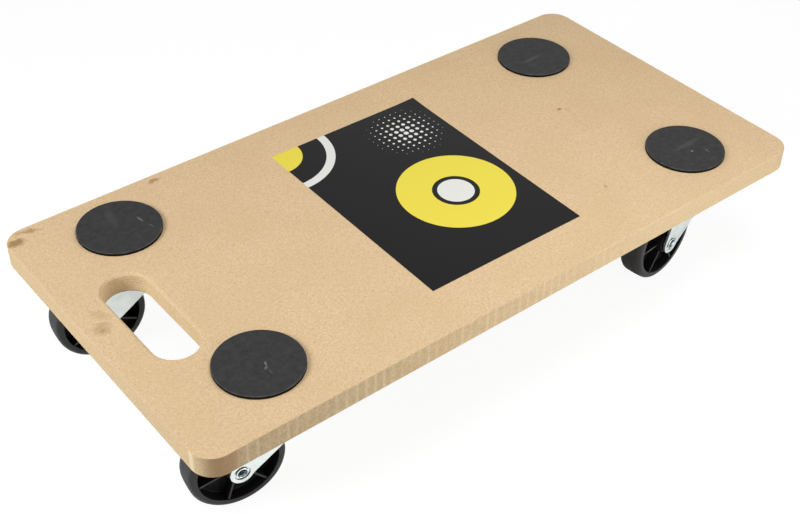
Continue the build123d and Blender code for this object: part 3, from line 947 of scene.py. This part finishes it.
# Wheels: black polypropylene, moulded in one shot with a web, six ribs a side and a hub.
# Each turns on its sleeve between the legs, and its tread has worn dull on the floor.
wheel_radius = 0.0375
wheel_half = 0.0105
wheel_bore = 0.00508
bore_round = 0.0004
hub_radius = 0.011
hub_half = 0.0129
hub_draft = 0.0008
hub_round = 0.0006
web_half = 0.00175
web_fillet = 0.0012
rim_root = 0.0304
rim_mouth = 0.0312
rim_mouth_round = 0.0004
tread_crown = 0.0005
tread_flat_half = 0.00315
tread_round = 0.002
shoulder_round = 0.0034
rib_count = 6
first_rib = -45.0
rib_thickness = 0.0018
rib_half = 0.0098
rib_bite = 0.0008
rib_round = 0.0003
rib_edge_clearance = 0.004
wheel_rolls = {"front_left": -3.0, "front_right": 20.0, "rear_left": 42.5, "rear_right": -10.0}

# Polypropylene is glossy where the mould was polished: on the shoulders, the rims and the ribs' edges. In the recesses
# the mould was left matt, and they are painted near-black as the recesses' shade. The worn tread is a dull dark grey.
mould_texture = 0.002
moulded_plastic = weathered(
    "polypropylene_moulded_black",
    mould_texture,
    ("#171718", "#1F1F20"),
    detail=4.0,
    dullness=(0.28, 0.4),
    Specular_IOR_Level=0.42,
)
# Painted shade: the recess colour is darker than the moulding, as a deep recess looks.
recess_painted_shade = weathered(
    "polypropylene_recess_painted_shade",
    mould_texture,
    ("#060606", "#0E0E0E"),
    detail=4.0,
    dullness=(0.5, 0.7),
    Specular_IOR_Level=0.15,
)
worn_tread = weathered(
    "polypropylene_worn_tread",
    mould_texture,
    ("#414142", "#4B4B4C"),
    detail=4.0,
    dullness=(0.55, 0.75),
    Specular_IOR_Level=0.2,
)

half_section = [
    (wheel_bore, hub_half, bore_round),
    (hub_radius - hub_draft, hub_half, hub_round),
    (hub_radius, web_half, web_fillet),
    (rim_root, web_half, web_fillet),
    (rim_mouth, wheel_half, rim_mouth_round),
    (wheel_radius - tread_crown, wheel_half, shoulder_round),
    (wheel_radius, tread_flat_half, tread_round),
]
rib_place = Matrix.Translation(((hub_radius + rim_root) / 2, 0, 0))
rib_size = Matrix.Diagonal((rim_root - hub_radius + rib_bite, rib_thickness, 2 * rib_half, 1))
for corner in corners:
    wheel = turned(both_halves(half_section), steps=128)
    for rib in range(rib_count):
        turn = Matrix.Rotation(radians(first_rib + 360 / rib_count * rib + wheel_rolls[corner]), 4, "Z")
        blade = bmesh.ops.create_cube(wheel, size=1.0, matrix=turn @ rib_place @ rib_size)["verts"]
        blade_edges = list({edge for vert in blade for edge in vert.link_edges})
        bmesh.ops.bevel(
            wheel, geom=blade_edges, offset=rib_round, segments=2, profile=0.5, affect="EDGES", material=-1
        )
    for face in wheel.faces:
        middle = face.calc_center_median()
        off_axis = middle.xy.length
        outward = face.normal.xy.dot(middle.xy) / off_axis
        on_tread = off_axis > rim_mouth and outward > 0.95
        off_web = off_axis > hub_radius and abs(middle.z) > web_half + rib_edge_clearance
        polished = off_axis >= rim_mouth or (off_web and abs(face.normal.z) > 0.7)
        # Index 1 takes the recess's painted shade.
        face.material_index = 2 if on_tread else 0 if polished else 1
    bmesh.ops.transform(wheel, matrix=axle_place(corner), verts=wheel.verts)
    make_piece(
        wheel,
        f"{corner}_wheel_moulding",
        f"{corner}_roller",
        [moulded_plastic, recess_painted_shade, worn_tread],
        [f"{corner}_wheel"],
    )


# Floor, light and camera: a white paper floor that runs on as a white backdrop, and five soft lamps.
# The strongest stands to the left like a window, and the others fill in from above, in front and behind.
floor_size = 8.0
floor_shape = bmesh.new()
bmesh.ops.create_grid(floor_shape, x_segments=1, y_segments=1, size=floor_size / 2)
floor_mesh = bpy.data.meshes.new("floor")
floor_shape.to_mesh(floor_mesh)
floor_shape.free()
floor = bpy.data.objects.new("floor", floor_mesh)
bpy.context.scene.collection.objects.link(floor)

# Matt white paper. The eye sees it white with a faint shadow, and metal mirrors it as a lit floor. It throws less than
# half of the lamps' light back on what stands on it.
mirrored_strength = 0.26
seen_strength = 0.92
white_floor = bpy.data.materials.new("white_floor")
white_floor.use_nodes = True
white_floor.node_tree.nodes.remove(white_floor.node_tree.nodes["Principled BSDF"])
paper = add_node(white_floor, "BsdfDiffuse", {"Color": linear("#B4B4B4")})
mirrored_shade = add_node(white_floor, "BsdfDiffuse", {"Color": linear("#F4F4F4")})
mirrored_glow = add_node(white_floor, "Emission", {"Color": linear("#FFFFFF"), "Strength": mirrored_strength})
mirrored = add_node(white_floor, "AddShader", {0: mirrored_shade.outputs[0], 1: mirrored_glow.outputs[0]})
seen_shade = add_node(white_floor, "BsdfDiffuse", {"Color": linear("#666666")})
seen_glow = add_node(white_floor, "Emission", {"Color": linear("#FFFFFF"), "Strength": seen_strength})
seen = add_node(white_floor, "AddShader", {0: seen_shade.outputs[0], 1: seen_glow.outputs[0]})
path = add_node(white_floor, "LightPath")
eye = add_node(
    white_floor,
    "Math",
    {0: path.outputs["Is Camera Ray"], 1: path.outputs["Is Transmission Ray"]},
    operation="MAXIMUM",
)
unseen = add_node(
    white_floor, "MixShader", {0: path.outputs["Is Glossy Ray"], 1: paper.outputs[0], 2: mirrored.outputs[0]}
)
floor_mix = add_node(white_floor, "MixShader", {0: eye.outputs[0], 1: unseen.outputs[0], 2: seen.outputs[0]})
white_floor.node_tree.links.new(floor_mix.outputs[0], white_floor.node_tree.nodes["Material Output"].inputs[0])
floor_mesh.materials.append(white_floor)

# The backdrop is white to the eye and in the metal, and lights everything else only faintly.
backdrop_fill = 0.12
world = bpy.data.worlds.new("studio")
world.use_nodes = True
bpy.context.scene.world = world
path = add_node(world, "LightPath")
mirror_or_eye = add_node(
    world, "Math", {0: path.outputs["Is Camera Ray"], 1: path.outputs["Is Glossy Ray"]}, operation="MAXIMUM"
)
shown = add_node(
    world, "Math", {0: mirror_or_eye.outputs[0], 1: path.outputs["Is Transmission Ray"]}, operation="MAXIMUM"
)
sky_level = add_node(world, "MapRange", {"Value": shown.outputs[0], "To Min": backdrop_fill, "To Max": 1.0})
sky = world.node_tree.nodes["Background"]
sky.inputs["Color"].default_value = linear("#FFFFFF")
world.node_tree.links.new(sky_level.outputs[0], sky.inputs["Strength"])


def soft_light(name, place, aim, size, watts):
    """A square lamp that faces a point."""
    lamp = bpy.data.lights.new(name, "AREA")
    lamp.size = size
    lamp.energy = watts
    lamp_object = bpy.data.objects.new(name, lamp)
    lamp_object.location = place
    lamp_object.rotation_euler = (Vector(aim) - Vector(place)).to_track_quat("-Z", "Y").to_euler()
    bpy.context.scene.collection.objects.link(lamp_object)


soft_light("overhead", place=(0.15, -0.2, 0.8), aim=(0.1, -0.2, 0.1), size=0.4, watts=2.8)
soft_light("left_window", place=(-1.0, 0.05, 0.65), aim=(-0.29, 0, 0.1), size=0.5, watts=6.5)
soft_light("far_left_card", place=(-0.8, 0.5, 0.6), aim=(-0.2, 0, 0.1), size=0.5, watts=0.95)
soft_light("front_card", place=(0.15, -0.65, 0.2), aim=(0.15, -0.145, 0.1), size=0.4, watts=2.0)
soft_light("back_fill", place=(1.0, 1.0, 0.6), aim=(0.1, 0.05, 0.1), size=0.8, watts=2.4)

# The camera stands above the near left corner and takes the deck in whole, as the photo does.
camera_data = bpy.data.cameras.new("camera")
camera_data.sensor_fit = "HORIZONTAL"
camera_data.sensor_width = 36.0
camera_data.lens = 60.09
camera = bpy.data.objects.new("camera", camera_data)
camera.location = (-0.5511, -0.6547, 0.7501)
camera.rotation_euler = (radians(50.387), radians(-0.876), radians(-38.559))
bpy.context.scene.collection.objects.link(camera)
bpy.context.scene.camera = camera
bpy.context.scene.view_settings.view_transform = "Standard"
